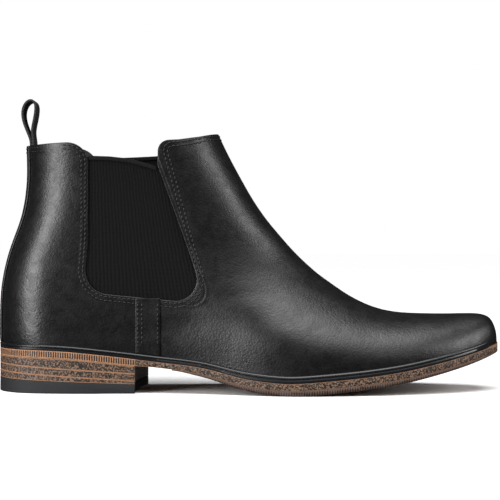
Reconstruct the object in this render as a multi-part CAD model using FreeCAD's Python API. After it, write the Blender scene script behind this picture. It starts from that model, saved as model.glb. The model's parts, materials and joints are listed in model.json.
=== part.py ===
import FreeCAD, Part
import math
import os

# Chelsea boot for the right foot, EU 42.5, in millimetres.
# X runs from heel to toe, Z is up, and the lateral (outer) side is -Y.

os.makedirs("parts", exist_ok=True)

Vector = FreeCAD.Vector

# ---------------------------------------------------------------- sizes
boot_length = 308.0            # welt, from the back of the heel to the toe
drawn_length = 308.0           # length at which the outlines below are drawn
upper_height = 147.0           # welt at the ball up to the front of the collar
drawn_upper_height = 147.0
ball_width = 98.0              # welt across the ball
drawn_ball_width = 98.0
shaft_half_width = 29.0

heel_pitch = 19.0              # heel end of the sole line above its lowest point
toe_spring = 21.9              # toe end of the sole line above its lowest point

leather_thickness = 1.4
stiffener_thickness = 1.1      # elastic, puff, counter and interlinings
lining_thickness = 0.9
trim_thickness = 1.0           # backstay and side straps, over the leather
glue_line = 0.1                # between layers that are cemented or sewn
seam_gap = 0.2                 # between pieces that butt in one layer

welt_reach = 3.0               # welt beyond the upper, at the sides
welt_thickness = 4.2
outsole_thickness = 4.5
waist_thinning = 0.9           # outsole at the waist, less than its thickness elsewhere
tread_thickness = 3.0
tread_start = -46.0
filler_thickness = 2.0
insole_thickness = 2.4
footbed_thickness = 2.0

heel_breast_lateral = -68.4
heel_breast_medial = -64.3
heel_breast_hollow = 2.0
top_piece_back = 8.8
top_piece_breast = 5.7
wedge_breast = 1.9

shank_width = 14.0
shank_thickness = 1.2
shank_back = -118.0
shank_front = -14.0

nail_radius = 1.0
nail_depth_in_outsole = 2.0

backstay_width = 22.0
strap_back = -68.0
strap_front = -53.3
window_back = -97.0
gusset_margin = 8.0
binding_height = 2.6
binding_wrap = 0.8

webbing_thickness = 1.5
webbing_width = 15.0
tail_length = 26.0
pivot_radius = 1.5
pivot_gap = 0.5                # between the loop's root and its sewn tail

# ------------------------------------------------------------ stretching
length_ratio = boot_length / drawn_length
height_ratio = upper_height / drawn_upper_height
width_ratio = ball_width / drawn_ball_width
sole_at_ball = outsole_thickness + tread_thickness
drawn_welt_top = 11.7
welt_top_at_ball = sole_at_ball + welt_thickness


def along(x):
    return x * length_ratio


def up(z):
    return welt_top_at_ball + (z - drawn_welt_top) * height_ratio


# --------------------------------------------------------- plain helpers
def blend_table(table, x):
    """Smooth value of a table of (position, value) rows at x."""
    if x <= table[0][0]:
        return table[0][1]
    if x >= table[-1][0]:
        return table[-1][1]
    last = len(table) - 1
    i = 0
    while table[i + 1][0] < x:
        i += 1
    x0, y0 = table[max(i - 1, 0)]
    x1, y1 = table[i]
    x2, y2 = table[i + 1]
    x3, y3 = table[min(i + 2, last)]
    slope1 = (y2 - y0) / (x2 - x0)
    slope2 = (y3 - y1) / (x3 - x1)
    span = x2 - x1
    t = (x - x1) / span
    h00 = 2 * t ** 3 - 3 * t ** 2 + 1
    h10 = t ** 3 - 2 * t ** 2 + t
    h01 = -2 * t ** 3 + 3 * t ** 2
    h11 = t ** 3 - t ** 2
    return h00 * y1 + h10 * span * slope1 + h01 * y2 + h11 * span * slope2


def smooth_step(low, high, value):
    t = min(max((value - low) / (high - low), 0.0), 1.0)
    return t * t * (3 - 2 * t)


def spline(points):
    curve = Part.BSplineCurve()
    curve.interpolate(Points=points)
    return curve


def rounded_wire(corners):
    """Closed outline in the XZ plane from (x, z, corner radius) rows."""
    count = len(corners)
    starts = []
    ends = []
    edges = []
    for i in range(count):
        x, z, radius = corners[i]
        corner = Vector(x, 0, z)
        before = Vector(corners[i - 1][0], 0, corners[i - 1][1]) - corner
        after = Vector(corners[(i + 1) % count][0], 0, corners[(i + 1) % count][1]) - corner
        before_direction = Vector(before).normalize()
        after_direction = Vector(after).normalize()
        half_angle = before_direction.getAngle(after_direction) / 2
        if radius == 0 or half_angle > 1.55:
            starts.append(corner)
            ends.append(corner)
            continue
        reach = radius / math.tan(half_angle)
        start = corner + before_direction * reach
        end = corner + after_direction * reach
        inward = (before_direction + after_direction).normalize()
        centre = corner + inward * (radius / math.sin(half_angle))
        middle = centre - inward * radius
        edges.append(Part.Arc(start, middle, end).toShape())
        starts.append(start)
        ends.append(end)
    for i in range(count):
        start = ends[i]
        end = starts[(i + 1) % count]
        if start.distanceToPoint(end) > 1e-6:
            edges.append(Part.makeLine(start, end))
    return Part.Wire(Part.__sortEdges__(edges))


def side_prism(corners, low_y=-90.0, high_y=90.0):
    """Outline in the XZ plane, drawn sizes, run across the boot from low_y to high_y."""
    placed = [(along(x), up(z), radius) for x, z, radius in corners]
    face = Part.Face(rounded_wire(placed))
    face.translate(Vector(0, low_y, 0))
    return face.extrude(Vector(0, high_y - low_y, 0))


def box(low, high):
    size = [high[i] - low[i] for i in range(3)]
    return Part.makeBox(size[0], size[1], size[2], Vector(*low))


# ------------------------------------------------------------- sole line
# Top of the outsole, as a height above its lowest point under the ball.
heel_part = [(-175, 1.0), (-153, 1.0), (-135, 0.985), (-105, 0.915), (-88, 0.82), (-71, 0.715),
             (-53, 0.60), (-32, 0.476), (-20, 0.355), (-6, 0.17), (6, 0.065), (15, 0.02)]
lowest_x = 25.0
toe_part = [(37, 0.03), (50, 0.08), (63, 0.135), (79, 0.22), (93, 0.315), (106, 0.43),
            (124, 0.615), (140, 0.805), (149, 0.93), (154, 1.0), (175, 1.3)]

sole_points = [Vector(along(x), 0, heel_pitch * share) for x, share in heel_part]
sole_points.append(Vector(along(lowest_x), 0, 0))
sole_points += [Vector(along(x), 0, toe_spring * share) for x, share in toe_part]
sole_curve = spline(sole_points)


def sole_rise(x):
    """Height of the sole line at x above its lowest point."""
    low = sole_curve.FirstParameter
    high = sole_curve.LastParameter
    for step in range(60):
        middle = (low + high) / 2
        if sole_curve.value(middle).x < x:
            low = middle
        else:
            high = middle
    return sole_curve.value(low).z


def sole_top(x):
    return sole_at_ball + sole_rise(x)


def sole_edge(offset):
    """Sole line moved up by offset, which is a number or a table of (position, number) rows."""
    if isinstance(offset, list):
        points = []
        for k in range(51):
            x = -175 + 7 * k
            points.append(Vector(along(x), 0, sole_top(along(x)) + blend_table(offset, x)))
        return spline(points).toShape()
    edge = sole_curve.toShape()
    edge.translate(Vector(0, 0, sole_at_ball + offset))
    return edge


def raised(table, distance):
    return [(x, value + distance) for x, value in table]


def sole_band(low, high, start_x=None, end_x=None):
    """Band that follows the sole line, low and high measured from the outsole's top face."""
    lower = sole_edge(low)
    upper = sole_edge(high)
    back = Part.makeLine(lower.Vertexes[0].Point, upper.Vertexes[0].Point)
    front = Part.makeLine(lower.Vertexes[-1].Point, upper.Vertexes[-1].Point)
    face = Part.Face(Part.Wire([lower, front, upper, back]))
    face.translate(Vector(0, -90, 0))
    band = face.extrude(Vector(0, 180, 0))
    if start_x is not None:
        band = band.common(box((start_x, -95, -60), (end_x, 95, 140)))
    return band


# ------------------------------------------------------ form of the upper
lateral_widths = [(-156, 31.5), (-120, 32.5), (-90, 31.5), (-60, 31), (-30, 35), (0, 43.5),
                  (25, 48.8), (50, 48.8), (80, 45), (105, 38.4), (125, 30.2), (137, 23.4),
                  (145, 17.4), (149.5, 13), (151.8, 9.8), (152.6, 8)]
medial_widths = [(-156, 31.5), (-120, 32), (-90, 29.5), (-60, 27.5), (-30, 28.5), (0, 35),
                 (25, 41), (48, 43.2), (75, 41.4), (100, 36), (120, 29), (135, 22),
                 (144, 16.2), (149.5, 12), (151.8, 9.2), (152.6, 7.6)]
shaft_shape = [(40, 2.5), (70, 1.5), (100, 0.0), (125, -0.4), (160, 0.6)]

# Each section joins a point on the instep line to one on the back or bottom line:
# instep x and z, the other end's x and z, then how far each end's rounding reaches.
sections = [
    (-24, 168, -136.6, 161, 40, 34),
    (-15.5, 150.3, -136.6, 142, 40, 34),
    (-5.6, 131.3, -137.0, 124, 40, 34),
    (3.1, 116.2, -140.8, 104, 42, 34),
    (11, 104.8, -147.2, 86, 46, 34),
    (17.5, 96.9, -152.1, 64, 50, 34),
    (23, 90.5, -153.2, 42, 54, 34),
    (28, 85, -148.5, 17, 58, 33),
    (33, 80, -125, 13, 60, 18),
    (38, 75.4, -90, 11.5, 60, 12),
    (44, 70.4, -50, 5, 58, 10),
    (52, 64.7, -15, 0.5, 54, 9),
    (62, 58, 20, -3.5, 46, 8),
    (75, 51.7, 50, -3, 38, 8),
    (90, 47.9, 78, -1, 32, 8),
    (108, 46.8, 103, 5, 28, 8),
    (124, 46.7, 122, 11, 25, 8),
    (137, 46.9, 136, 16, 22, 8),
    (145, 46.1, 145, 19.5, 18, 8),
    (149.6, 43.6, 149.6, 21.5, 14, 8),
    (151.8, 39.8, 151.8, 22.5, 11, 7),
    (152.6, 37.4, 152.6, 23, 9, 6),
]
half_count = 12


def half_width(x, z, side):
    """Half width of the upper in drawn sizes, before the ends of a section are rounded."""
    table = lateral_widths if side < 0 else medial_widths
    foot = blend_table(table, x) * width_ratio
    shaft = shaft_half_width + blend_table(shaft_shape, z)
    share = smooth_step(24, 92, z)
    if x > 60:
        share = share * smooth_step(115, 60, x)
    return foot + (shaft - foot) * share


def end_rounding(distance, reach):
    if distance >= reach:
        return 1.0
    return math.sqrt(1 - (1 - distance / reach) ** 2)


def section_ring(section):
    front_x, front_z, back_x, back_z, front_reach, back_reach = section
    length = math.hypot(back_x - front_x, back_z - front_z)
    shares = [(1 - math.cos(math.pi * i / half_count)) / 2 for i in range(half_count + 1)]
    ring = []
    for side in (-1, 1):
        for share in shares:
            x = front_x + (back_x - front_x) * share
            z = front_z + (back_z - front_z) * share
            rounding = end_rounding(share * length, front_reach)
            rounding = rounding * end_rounding((1 - share) * length, back_reach)
            y = side * half_width(x, z, side) * rounding
            ring.append(Vector(along(x), y, up(z)))
    lateral_half = ring[:half_count + 1]
    medial_half = ring[half_count + 1:]
    medial_half.reverse()
    return lateral_half + medial_half[1:-1]


rings = [section_ring(section) for section in sections]
ring_size = len(rings[0])
ring_parameters = [i / ring_size for i in range(ring_size + 1)]


def ring_spacing(i):
    """Mean distance from ring i to the next one."""
    total = 0
    for j in range(ring_size):
        total += rings[i][j].distanceToPoint(rings[i + 1][j])
    return total / ring_size


ring_places = [0.0]
for i in range(len(rings) - 1):
    ring_places.append(ring_places[-1] + ring_spacing(i))


def ring_normal(i, j):
    """Outward direction of the upper's surface at point j of ring i."""
    above = rings[max(i - 1, 0)][j]
    below = rings[min(i + 1, len(rings) - 1)][j]
    before = rings[i][j - 1]
    after = rings[i][(j + 1) % ring_size]
    return (below - above).cross(after - before).normalize()


def plane_normal(i):
    """Direction along the fan at ring i, square to the ring's plane."""
    front = rings[i][0]
    back = rings[i][half_count]
    return (back - front).cross(Vector(0, 1, 0)).normalize()


normals = [[ring_normal(i, j) for j in range(ring_size)] for i in range(len(rings))]
toe_direction = Vector(1, 0, 0)
outward_sign = 1.0 if normals[4][half_count // 2].y < 0 else -1.0


blunt_offset = -3.0            # forms smaller than this stop short of the toe's tip
blunt_rings = 3


def ring_count(offset):
    return len(rings) if offset > blunt_offset else len(rings) - blunt_rings


def moved_ring(i, offset):
    """Ring i moved square to the surface, with the two end rings kept flat."""
    square = plane_normal(i)
    first = i == 0
    last = i == ring_count(offset) - 1
    points = []
    for j in range(ring_size):
        normal = normals[i][j] * outward_sign
        if first or last:
            normal = normal - square * normal.dot(square)
            normal.normalize()
        move = normal * offset
        if last:
            move = move + toe_direction * offset
        if first:
            collar_direction = square if square.z > 0 else square * -1
            move = move + collar_direction * (4 - offset)
        points.append(rings[i][j] + move)
    return points


def is_section_edge(edge, start):
    """True for the edge of a side's surface that runs round a section from its front point."""
    touches = min(vertex.Point.distanceToPoint(start) for vertex in edge.Vertexes) < 1e-6
    return touches and abs(edge.Vertexes[0].Z - edge.Vertexes[-1].Z) < 40


def upper_form(offset):
    """Closed form of the upper, its surface moved out by offset."""
    count = ring_count(offset)
    ring_curves = []
    for i in range(count):
        curve = Part.BSplineCurve()
        curve.interpolate(Points=moved_ring(i, offset), PeriodicFlag=True,
                          Parameters=ring_parameters)
        ring_curves.append(curve)
    ring_poles = [curve.getPoles() for curve in ring_curves]
    surface_poles = []
    for k in range(len(ring_poles[0])):
        length_curve = Part.BSplineCurve()
        length_curve.interpolate(Points=[poles[k] for poles in ring_poles],
                                 Parameters=ring_places[:count])
        surface_poles.append(length_curve.getPoles())
    surface = Part.BSplineSurface()
    surface.buildFromPolesMultsKnots(
        surface_poles,
        ring_curves[0].getMultiplicities(), length_curve.getMultiplicities(),
        ring_curves[0].getKnots(), length_curve.getKnots(),
        ring_curves[0].isPeriodic(), False,
        ring_curves[0].Degree, length_curve.Degree)
    surface.setUNotPeriodic()
    sides = []
    for low, high in ((0.0, 0.5), (0.5, 1.0)):
        side = surface.copy()
        side.segment(low, high, ring_places[0], ring_places[count - 1])
        sides.append(side.toShape())
    collar_end = [edge for side in sides for edge in side.Edges
                  if is_section_edge(edge, moved_ring(0, offset)[0])]
    toe_end = [edge for side in sides for edge in side.Edges
               if is_section_edge(edge, moved_ring(count - 1, offset)[0])]
    ends = [Part.Face(Part.Wire(collar_end)), Part.Face(Part.Wire(toe_end))]
    shell = Part.makeShell(sides + ends)
    shell.sewShape()
    form = Part.makeSolid(shell)
    if form.Volume < 0:
        form.reverse()
    return form


# ------------------------------------------------- layers of the upper
leather_inside = -leather_thickness
middle_outside = leather_inside - glue_line
middle_inside = middle_outside - stiffener_thickness
lining_outside = middle_inside - glue_line
lining_inside = lining_outside - lining_thickness
cavity_outside = lining_inside - glue_line
trim_inside = glue_line
trim_outside = trim_inside + trim_thickness

welt_shares = [(-175, 0.76), (-70, 0.8), (-20, 0.86), (5, 1.0), (60, 1.0), (175, 0.95)]
welt_top = [(x, welt_thickness * share) for x, share in welt_shares]
under_sole = sole_band(-90, glue_line)
under_welt = sole_band(-90, raised(welt_top, glue_line))


def layer(outside, inside, floor):
    """Wall between two offsets of the upper, standing on the given floor."""
    return upper_form(outside).cut(upper_form(inside)).cut(floor)


leather_layer = layer(0, leather_inside, under_sole)
middle_layer = layer(middle_outside, middle_inside, under_sole)
lining_layer = layer(lining_outside, lining_inside, under_sole)
trim_layer = layer(trim_outside, trim_inside, under_welt)
cavity_form = upper_form(cavity_outside)

# Side seam and elastic window, drawn sizes.
seam_x = -62.0
window_low_back = (-99.3, 60.8)
window_low_front = (-25.6, 53.6)
window_top_front = (-55.0, 137.0)
seam_z = 57.1
rear_collar = [(-175, 149.8, 0), (-133, 150, 60), (-112, 150.8, 30), (-96.9, 151, 12.5)]
front_collar = [(-54.9, 152, 7), (-42.2, 152.8, 20), (-30.3, 154.8, 30), (-17, 158.2, 0),
                (40, 166, 0)]

quarter_outline = rear_collar + [
    (window_back, 90, 60),
    (window_low_back[0], window_low_back[1], 14.5),
    (seam_x, seam_z, 0),
    (seam_x, -30, 0),
    (-175, -30, 0),
]
vamp_outline = [
    (seam_x, -30, 0),
    (seam_x, seam_z, 0),
    (window_low_front[0], window_low_front[1], 13),
    (-36.5, 86, 60),
    (window_top_front[0], window_top_front[1], 0),
] + front_collar + [(175, 100, 0), (175, -30, 0)]


# Top edge of each elastic: the outer one sags at its front end.
gusset_top_lateral = [(-97, 142.0), (-84, 141.6), (-72, 140.3), (-60, 137.0), (-55, 135.3)]
gusset_top_medial = [(-97, 143.4), (-84, 144.0), (-72, 144.5), (-60, 145.1), (-55, 145.3)]


def gusset_outline(top_edge, margin, top_gap):
    """Elastic's outline: the window grown by the margin that is sewn under the leather."""
    back_top = (window_back - margin, top_edge[0][1] + top_gap, 0)
    front_top = (window_top_front[0] + margin, top_edge[-1][1] + top_gap, 0)
    middle = [(x, z + top_gap, 30) for x, z in top_edge[1:-1]]
    return [back_top] + middle + [
        front_top,
        (-36.5 + margin, 86, 60),
        (window_low_front[0] + 1.35 * margin, window_low_front[1] - margin, 18),
        (window_low_back[0] - margin, window_low_back[1] - margin, 20),
        (window_back - margin, 90, 60),
    ]


def binding_outline(top_edge):
    back_x = window_back + 0.4
    front_x = window_top_front[0] - 0.9
    above = [(back_x, top_edge[0][1] + binding_wrap, 0)]
    above += [(x, z + binding_wrap, 30) for x, z in top_edge[1:-1]]
    above.append((front_x, top_edge[-1][1] + binding_wrap + 0.2, 0))
    below = [(x, z - binding_height, radius) for x, z, radius in above]
    below.reverse()
    return above + below


quarter_prism = side_prism(quarter_outline)
quarter_prism = quarter_prism.cut(box((along(seam_x) - seam_gap, -95, -60),
                                      (along(seam_x) + 1, 95, 200)))
vamp_prism = side_prism(vamp_outline)
lateral_half = box((-250, -90, -60), (250, -seam_gap / 2, 260))
medial_half = box((-250, seam_gap / 2, -60), (250, 90, 260))

vamp = leather_layer.common(vamp_prism)
quarters = leather_layer.common(quarter_prism)
quarter_lateral = quarters.common(lateral_half)
quarter_medial = quarters.common(medial_half)

vamp_lining = lining_layer.common(vamp_prism)
quarter_lining = lining_layer.common(quarter_prism)

# Elastic gussets, and the tape folded over their top edges.
binding_stock = upper_form(middle_outside + binding_wrap).cut(
    upper_form(middle_inside - binding_wrap))
binding_room = upper_form(middle_outside + glue_line / 2).cut(
    upper_form(middle_inside - glue_line / 2))


def elastic_side(top_edge, half):
    """Gusset and its binding for one side of the boot."""
    gusset = middle_layer.common(side_prism(gusset_outline(top_edge, gusset_margin, 0)))
    room = binding_room.common(side_prism(gusset_outline(top_edge, gusset_margin, glue_line / 2)))
    binding = binding_stock.common(side_prism(binding_outline(top_edge))).cut(room)
    return gusset.common(half), binding.common(half)


gusset_lateral, gusset_binding_lateral = elastic_side(gusset_top_lateral, lateral_half)
gusset_medial, gusset_binding_medial = elastic_side(gusset_top_medial, medial_half)

# Pull loop's tail, sewn between the quarters and their lining.
back_collar_x = along(sections[0][2])
back_collar_z = up(150)
pivot_x = back_collar_x + 3.2
pivot_z = back_collar_z + pivot_radius + pivot_gap + 0.5
tail_box = box((back_collar_x - 12, -webbing_width / 2, back_collar_z - tail_length),
               (back_collar_x + 12, webbing_width / 2, back_collar_z - 0.2))
tail_room = box((back_collar_x - 12, -webbing_width / 2 - seam_gap,
                 back_collar_z - tail_length - seam_gap),
                (back_collar_x + 12, webbing_width / 2 + seam_gap, back_collar_z + 20))
pull_loop_tail = middle_layer.common(tail_box)

# Stiffeners and interlinings share the middle layer.
def counter_outline(gap):
    return [(-175, 74 + gap, 0), (-130, 74 + gap, 30), (-92 + gap, 48 + gap, 40),
            (-84 + gap, -30, 0), (-175, -30, 0)]


def puff_outline(gap):
    return [(112 - gap, 80, 0), (107 - gap, 40, 30), (100 - gap, -30, 0), (175, -30, 0),
            (175, 80, 0)]


def gusset_room(top_edge, low_y, high_y):
    return side_prism(gusset_outline(top_edge, gusset_margin + seam_gap, seam_gap), low_y, high_y)


room_lateral = gusset_room(gusset_top_lateral, -90, 0)
room_medial = gusset_room(gusset_top_medial, 0, 90)
heel_counter = middle_layer.common(side_prism(counter_outline(0)))
toe_puff = middle_layer.common(side_prism(puff_outline(0)))
quarter_interlining = middle_layer.common(quarter_prism)
quarter_interlining = quarter_interlining.cut(side_prism(counter_outline(seam_gap)))
quarter_interlining = quarter_interlining.cut(room_lateral).cut(room_medial).cut(tail_room)
vamp_interlining = middle_layer.common(vamp_prism)
vamp_interlining = vamp_interlining.cut(side_prism(puff_outline(seam_gap)))
vamp_interlining = vamp_interlining.cut(room_lateral).cut(room_medial)

# Trim over the leather.
back_half = box((-250, -backstay_width / 2, -60),
                (along(-100), backstay_width / 2, back_collar_z))
backstay = trim_layer.common(back_half)
strap_box = box((along(strap_back), -90, -60), (along(strap_front), 90, up(seam_z)))
straps = trim_layer.common(strap_box)
side_strap_lateral = straps.common(lateral_half)
side_strap_medial = straps.common(medial_half)

# ---------------------------------------------------------- sole pieces
heel_reach = 1.4               # welt beyond the upper, round the heel
heel_centre = -120.0
heel_round = 34.0


def sole_outline():
    """Plan outline of welt and sole, from the upper's width and the reach."""
    lateral = [-90, -60, -30, 0, 25, 50, 80, 105, 125, 138]
    points = []
    for x in lateral:
        points.append(Vector(along(x), -blend_table(lateral_widths, x) * width_ratio
                             - welt_reach, 0))
    toe_x = along(154)
    points.append(Vector(toe_x - 4.6, -15.2 * width_ratio, 0))
    points.append(Vector(toe_x, 0, 0))
    points.append(Vector(toe_x - 4.6, 14.2 * width_ratio, 0))
    medial = [136, 122, 102, 75, 48, 25, 0, -30, -60, -90]
    for x in medial:
        points.append(Vector(along(x), blend_table(medial_widths, x) * width_ratio
                             + welt_reach, 0))
    heel_width = 32.3 * width_ratio + heel_reach
    for angle in (90, 60, 30, 0, -30, -60, -90):
        turn = math.radians(angle)
        points.append(Vector(along(heel_centre) - heel_round * math.cos(turn),
                             heel_width * math.sin(turn), 0))
    curve = Part.BSplineCurve()
    curve.interpolate(Points=points, PeriodicFlag=True)
    return curve.toShape()


outline_face = Part.Face(Part.Wire(sole_outline()))
outline_face.translate(Vector(0, 0, -60))
outline_prism = outline_face.extrude(Vector(0, 0, 200))

# Underside of the outsole, and of the tread that is feathered out at the waist and toe.
thin = waist_thinning - outsole_thickness
outsole_under = [(-175, -outsole_thickness), (-72, -outsole_thickness), (-60, thin), (-46, thin),
                 (-20, -outsole_thickness), (175, -outsole_thickness)]
tread_shares = [(-175, 0.15), (tread_start, 0.15), (-33, 0.3), (-18, 0.5), (-4, 0.72), (12, 0.94),
                (25, 1.0), (40, 1.0), (76, 0.93), (100, 0.8), (125, 0.62), (140, 0.42),
                (154, 0.28), (175, 0.28)]
tread_room = tread_thickness - glue_line
tread_under = [(x, blend_table(outsole_under, x) - glue_line - tread_room * share)
               for x, share in tread_shares]

welt = outline_prism.common(sole_band(0, welt_top)).cut(upper_form(glue_line))
outsole = outline_prism.common(sole_band(outsole_under, -glue_line))
tread_band = sole_band(tread_under, raised(outsole_under, -glue_line), along(tread_start), 260)
forepart_tread = outline_prism.common(tread_band)

# Heel: two lifts that follow the outsole, a wedge, and the rubber top piece.
heel_back_x = along(heel_centre) - heel_round
breast_half_width = 32.0
breast_corner_lateral = Vector(along(heel_breast_lateral), -breast_half_width, -60)
breast_corner_medial = Vector(along(heel_breast_medial), breast_half_width, -60)
breast_middle = (breast_corner_lateral + breast_corner_medial) * 0.5
breast_middle.x -= heel_breast_hollow
breast_edge = Part.Arc(breast_corner_lateral, breast_middle, breast_corner_medial).toShape()
heel_wire = Part.makePolygon([breast_corner_medial, Vector(breast_corner_medial.x, 90, -60),
                              Vector(-250, 90, -60), Vector(-250, -90, -60),
                              Vector(breast_corner_lateral.x, -90, -60), breast_corner_lateral])
heel_face = Part.Face(Part.Wire(Part.__sortEdges__([breast_edge] + heel_wire.Edges)))
heel_prism = outline_prism.common(heel_face.extrude(Vector(0, 0, 200)))

breast_x = along(heel_breast_lateral)
seat_back = sole_top(heel_back_x) - outsole_thickness
seat_breast = sole_top(breast_x) - outsole_thickness
back_share = (seat_back - top_piece_back) / 3
breast_share = (seat_breast - top_piece_breast - wedge_breast) / 2
top_piece_line = (top_piece_back, top_piece_breast)
wedge_line = (top_piece_back + back_share, top_piece_breast + wedge_breast)
lift_line = (seat_back - back_share, seat_breast - breast_share)


def slope_height(line, x):
    share = (x - heel_back_x) / (breast_x - heel_back_x)
    return line[0] + (line[1] - line[0]) * share


def under_line(line, gap):
    """Space below a sloping heel line, less a gap."""
    low_x = -200.0
    high_x = -20.0
    corners = [Vector(low_x, -90, -60), Vector(high_x, -90, -60),
               Vector(high_x, -90, slope_height(line, high_x) - gap),
               Vector(low_x, -90, slope_height(line, low_x) - gap)]
    face = Part.Face(Part.makePolygon(corners + [corners[0]]))
    return face.extrude(Vector(0, 180, 0))


ground = box((-250, -90, -60), (250, 90, 0))
heel_seat = sole_band(-90, raised(outsole_under, -glue_line))
heel_lift_1 = heel_prism.common(heel_seat).cut(under_line(lift_line, 0))
heel_lift_2 = heel_prism.common(under_line(lift_line, glue_line)).cut(under_line(wedge_line, 0))
heel_lift_wedge = heel_prism.common(under_line(wedge_line, glue_line))
heel_lift_wedge = heel_lift_wedge.cut(under_line(top_piece_line, 0))
heel_top_piece = heel_prism.common(under_line(top_piece_line, glue_line)).cut(ground)

# Inside the upper: filler with the shank let into it, insole board and footbed.
insole_low = filler_thickness + 2 * glue_line
footbed_low = insole_low + insole_thickness + glue_line
bottom_filler = cavity_form.common(sole_band(glue_line, filler_thickness + glue_line))
insole_board = cavity_form.common(sole_band(insole_low, insole_low + insole_thickness))
footbed = cavity_form.common(sole_band(footbed_low, footbed_low + footbed_thickness))


def shank_stock(spare):
    length = shank_front - shank_back
    strip = Part.makeBox(length + 2 * spare, shank_width + 2 * spare, 200,
                         Vector(shank_back - spare, -shank_width / 2 - spare, -60))
    return strip.common(sole_band(filler_thickness - shank_thickness - spare,
                                  filler_thickness + spare))


shank = shank_stock(0)
bottom_filler = bottom_filler.cut(shank_stock(glue_line))

# Heel nails, from the outsole through the lifts into the wedge.
nail_places = [(-142, 0), (-132, 18), (-132, -18), (-110, 22), (-110, -22), (-86, 19),
               (-86, -19)]
nails = []
nail_holes = []
for x, y in nail_places:
    nail_x = along(x)
    top_z = sole_top(nail_x) - outsole_thickness + nail_depth_in_outsole
    low_z = slope_height(top_piece_line, nail_x) + 1.0
    place = Vector(nail_x, y, low_z)
    nails.append(Part.makeCylinder(nail_radius, top_z - low_z, place))
    hole_place = Vector(nail_x, y, low_z - glue_line)
    nail_holes.append(Part.makeCylinder(nail_radius + glue_line / 2,
                                        top_z - low_z + 2 * glue_line, hole_place))
heel_nails = Part.makeCompound(nails)
holes = Part.makeCompound(nail_holes)
outsole = outsole.cut(holes)
heel_lift_1 = heel_lift_1.cut(holes)
heel_lift_2 = heel_lift_2.cut(holes)
heel_lift_wedge = heel_lift_wedge.cut(holes)

# ------------------------------------------------------------ pull loop
# Middle line of the webbing in the XZ plane, from the pivot up and round.
loop_line = [(-1.05, 1.6), (-3.0, 5.8), (-5.0, 10.5), (-6.4, 15.5), (-6.4, 20.2), (-4.4, 24.6),
             (-1.4, 26.4), (1.3, 25.0), (2.0, 21.2), (1.2, 15.5), (0.0, 10.5), (-0.6, 6.2),
             (0.75, 1.6)]


def webbing_side(distance):
    line = spline([Vector(pivot_x + x, 0, pivot_z + z) for x, z in loop_line])
    steps = 24
    points = []
    for k in range(steps + 1):
        share = k / steps
        at = line.FirstParameter + (line.LastParameter - line.FirstParameter) * share
        tangent = line.tangent(at)[0]
        square = tangent.cross(Vector(0, 1, 0)).normalize()
        points.append(line.value(at) + square * distance)
    return spline(points).toShape()


outer_side = webbing_side(webbing_thickness / 2)
inner_side = webbing_side(-webbing_thickness / 2)
first_end = Part.makeLine(outer_side.Vertexes[0].Point, inner_side.Vertexes[0].Point)
second_end = Part.makeLine(outer_side.Vertexes[-1].Point, inner_side.Vertexes[-1].Point)
loop_face = Part.Face(Part.Wire([outer_side, second_end, inner_side, first_end]))
loop_face.translate(Vector(0, -webbing_width / 2, 0))
pull_loop = loop_face.extrude(Vector(0, webbing_width, 0))
root = Part.makeCylinder(pivot_radius, webbing_width,
                         Vector(pivot_x, -webbing_width / 2, pivot_z), Vector(0, 1, 0))
neck = box((pivot_x - webbing_thickness, -webbing_width / 2, pivot_z),
           (pivot_x + webbing_thickness, webbing_width / 2, pivot_z + 2.2))
pull_loop = pull_loop.fuse([root, neck]).removeSplitter()

# --------------------------------------------------------------- export
nodes = {
    "vamp": vamp,
    "quarter_lateral": quarter_lateral,
    "quarter_medial": quarter_medial,
    "backstay": backstay,
    "side_strap_lateral": side_strap_lateral,
    "side_strap_medial": side_strap_medial,
    "gusset_lateral": gusset_lateral,
    "gusset_medial": gusset_medial,
    "gusset_binding_lateral": gusset_binding_lateral,
    "gusset_binding_medial": gusset_binding_medial,
    "vamp_lining": vamp_lining,
    "quarter_lining": quarter_lining,
    "vamp_interlining": vamp_interlining,
    "quarter_interlining": quarter_interlining,
    "toe_puff": toe_puff,
    "heel_counter": heel_counter,
    "pull_loop": pull_loop,
    "pull_loop_tail": pull_loop_tail,
    "footbed": footbed,
    "insole_board": insole_board,
    "shank": shank,
    "bottom_filler": bottom_filler,
    "welt": welt,
    "outsole": outsole,
    "forepart_tread": forepart_tread,
    "heel_lift_1": heel_lift_1,
    "heel_lift_2": heel_lift_2,
    "heel_lift_wedge": heel_lift_wedge,
    "heel_top_piece": heel_top_piece,
    "heel_nails": heel_nails,
}

# The frame's origin is the middle of the boot's length and width, on the ground.
whole = Part.makeCompound([outline_prism.common(sole_band(-outsole_thickness, 0)), backstay])
limits = whole.optimalBoundingBox(False, False)
shift = Vector(-(limits.XMin + limits.XMax) / 2, -(limits.YMin + limits.YMax) / 2, 0)
for name, shape in nodes.items():
    shape = shape.copy()
    shape.translate(shift)
    solids = shape.Solids
    if len(solids) == 1:
        shape = solids[0]
    shape.exportStep("parts/" + name + ".step")
    print(name, len(solids), round(shape.Volume), shape.isValid())
print("shift", shift, "pivot", pivot_x + shift.x, pivot_z, "size", limits)
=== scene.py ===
import bpy
import bisect
import bmesh
import json
import math
from mathutils import Matrix, Vector
from mathutils.bvhtree import BVHTree
from mathutils.kdtree import KDTree


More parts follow.
